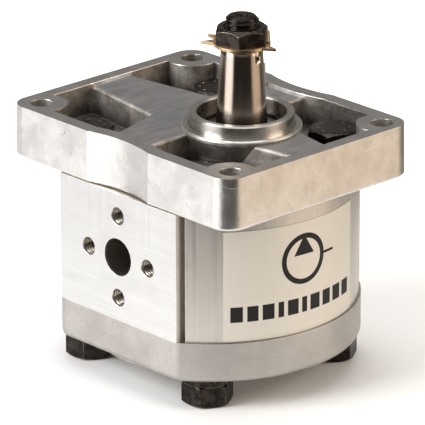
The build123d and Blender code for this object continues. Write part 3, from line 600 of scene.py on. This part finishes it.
def add_shaft():
    """The drive shaft, with a helical thread in place of the frame's plain rings."""
    nut_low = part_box("shaft_nut")[0].z
    shaft_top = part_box("drive_gear_shaft")[1].z
    root, crest, pitch, end_r = 5.1 * MM, 5.98 * MM, 1.75 * MM, 4.7 * MM
    centre_drill = ((2.0, 0.0), (1.0, 1.0), (1.0, 3.4), (0.05, 3.9))     # radius and depth, millimetres
    mesh = bmesh.new()
    mesh.from_mesh(NODES["drive_gear_shaft"].data)
    bmesh.ops.remove_doubles(mesh, verts=mesh.verts, dist=1e-7)
    cut = bmesh.ops.bisect_plane(
        mesh, geom=mesh.verts[:] + mesh.edges[:] + mesh.faces[:], plane_co=(0, 0, nut_low),
        plane_no=(0, 0, 1), clear_outer=True,
    )
    rim = [part for part in cut["geom_cut"] if isinstance(part, bmesh.types.BMEdge)]
    bmesh.ops.holes_fill(mesh, edges=rim)
    # the frame's own smooth normals go with the copy, so its edges are marked again
    for edge in mesh.edges:
        normals = [face.normal for face in edge.link_faces]
        if len(normals) == 2:
            edge.smooth = abs(normals[0].z - normals[1].z) < 0.02 and normals[0].dot(normals[1]) > 0.9

    axis, start = Vector((0, 0, 1)), Vector((0, 0, nut_low))
    length = shaft_top - nut_low
    rows = []
    count = int(length / pitch * SHAFT_ROWS)
    for row in range(count + 1):
        along = length * row / count
        rows.append(thread_ring(start, axis, along, pitch, root, crest - root, end_r + (length - along)))
    for radius, depth in centre_drill:
        rows.append(thread_ring(start, axis, length - depth * MM, pitch, radius * MM, 0.0))
    add_grid(mesh, rows)
    piece = new_piece("drive_shaft_threaded", mesh, "ground_steel", "drive_train")
    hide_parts("drive_gear_shaft")


def add_threads():
    pad_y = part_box("gear_housing")[1].y
    reach = MOUNTS["outlet_port_screws"]["dims"]["pcd_mm"] * MM / 2
    for side, port in ((-1, "outlet"), (1, "inlet")):
        inward = Vector((0, -side, 0))
        for i in range(SCREW_COUNT):
            turn = tau * i / SCREW_COUNT
            mouth = Vector((PUMP_X + reach * cos(turn), side * pad_y, PORT_Z + reach * sin(turn)))
            add_tapped_hole(f"{port}_screw_thread_{i + 1}", mouth + inward * 0.3 * MM, inward)


add_shaft()
add_threads()


# ---------------------------------------------------------------- floor and light
MIRRORED_TO, UNMIRRORED_FROM = 130, 230     # how far out the metal mirrors the floor, millimetres
PALER_FROM, PALER_TO = 60, 500              # and where the floor turns white towards its far side
FLOOR_HALF, FLOOR_GAP = 4.0, 0.0001


def add_floor():
    """A pale floor, whiter towards its far side. Metal mirrors it near the pump and the studio beyond."""
    mesh = bpy.data.meshes.new("floor")
    low = CAD_LOW.z - FLOOR_GAP
    corners = [(-FLOOR_HALF, -FLOOR_HALF), (FLOOR_HALF, -FLOOR_HALF),
               (FLOOR_HALF, FLOOR_HALF), (-FLOOR_HALF, FLOOR_HALF)]
    mesh.from_pydata([(x, y, low) for x, y in corners], [], [(0, 1, 2, 3)])
    floor = bpy.data.objects.new("floor", mesh)
    material, g, shader = new_material("floor_look", metallic=0.0, Roughness=0.8)
    shader.inputs["Base Color"].default_value = (0.93, 0.93, 0.92, 1)
    shader.inputs["Emission Color"].default_value = (1, 1, 1, 1)
    place = g.split(g.place(centre=(PUMP_X, 0, 0)))
    span = g.length(place[0], place[1])
    ray = g.add("LightPath")
    clear = g.math("MULTIPLY", g.remap(span, MIRRORED_TO, UNMIRRORED_FROM), ray.outputs["Is Glossy Ray"])
    paler = g.remap(span, PALER_FROM, PALER_TO, 0.0, 0.7)
    g.put(g.math("MULTIPLY", paler, ray.outputs["Is Camera Ray"]), shader.inputs["Emission Strength"])
    mix = g.add("MixShader")
    g.put(clear, mix.inputs[0])
    g.put(shader.outputs[0], mix.inputs[1])
    g.put(g.add("BsdfTransparent").outputs[0], mix.inputs[2])
    g.put(mix.outputs[0], material.node_tree.nodes["Material Output"].inputs["Surface"])
    mesh.materials.append(material)
    scene.collection.objects.link(floor)


def add_world():
    """A studio by direction: dark in front, bright on the left, warm on the right, pale where seen."""
    world = bpy.data.worlds.new("studio")
    world.use_nodes = True
    scene.world = world
    graph = Graph(world.node_tree)
    background = world.node_tree.nodes["Background"]
    direction = graph.add("TexCoord").outputs["Generated"]

    def along(axis):
        node = graph.add("VectorMath", operation="DOT_PRODUCT")
        graph.put(direction, node.inputs[0])
        node.inputs[1].default_value = axis
        return node.outputs["Value"]

    height = along(Vector((0, 0, 1)))
    front_to_back = along(TO_CAMERA)
    turn = graph.math("ARCTAN2", along(TO_RIGHT), front_to_back)

    def panel(middle, half, soft):
        """1 for directions within half of a middle, in degrees to the right of the front."""
        off = graph.math("ABSOLUTE", graph.math("SUBTRACT", turn, radians(middle)))
        return graph.remap(off, radians(half - soft), radians(half + soft), 1.0, 0.0)

    front = graph.blend(graph.remap(height, 0.05, 0.30), (0.012, 0.010, 0.009), (0.25, 0.24, 0.23))
    colour = graph.blend(graph.remap(front_to_back, -0.1, -0.7), front, (0.26, 0.245, 0.23))
    colour = graph.blend(panel(78, 26, 8), colour, (0.95, 0.76, 0.58))
    colour = graph.blend(panel(-68, 22, 5), colour, (2.1, 2.1, 2.12))
    low_left = graph.all_of(panel(-99, 54, 5), graph.remap(height, -0.245, -0.30))
    colour = graph.blend(low_left, colour, (1.25, 1.23, 1.24))
    colour = graph.blend(graph.remap(height, 0.45, 0.8), colour, (0.55, 0.55, 0.56))
    seen = graph.add("LightPath").outputs["Is Camera Ray"]
    graph.put(graph.blend(seen, colour, (0.9, 0.9, 0.89)), background.inputs["Color"])


LIGHTS_AIM = Vector((PUMP_X, 0, -0.03))


def add_light(name, turn, distance, height, size, power, colour):
    """An area light at a turn in degrees to the right of the front, aimed at the pump."""
    light = bpy.data.lights.new(name, "AREA")
    light.shape = "RECTANGLE"
    light.size, light.size_y = size
    light.energy = power
    light.color = colour
    lamp = bpy.data.objects.new(name, light)
    turn = radians(turn)
    place = (TO_CAMERA * cos(turn) + TO_RIGHT * sin(turn)) * distance + Vector((0, 0, height))
    lamp.location = place
    lamp.rotation_euler = (place - LIGHTS_AIM).to_track_quat("Z", "Y").to_euler()
    lamp.visible_camera = False
    scene.collection.objects.link(lamp)


add_camera()
add_floor()
add_world()
add_light("key_light", -70, 1.0, 0.45, (0.6, 0.8), 12, (1, 1, 1))
add_light("warm_light", 80, 1.0, 0.35, (0.6, 0.7), 4, (1.0, 0.86, 0.7))
add_light("top_light", 180, 0.25, 1.2, (0.9, 0.9), 8, (1, 1, 1))
scene.view_settings.view_transform = "Standard"
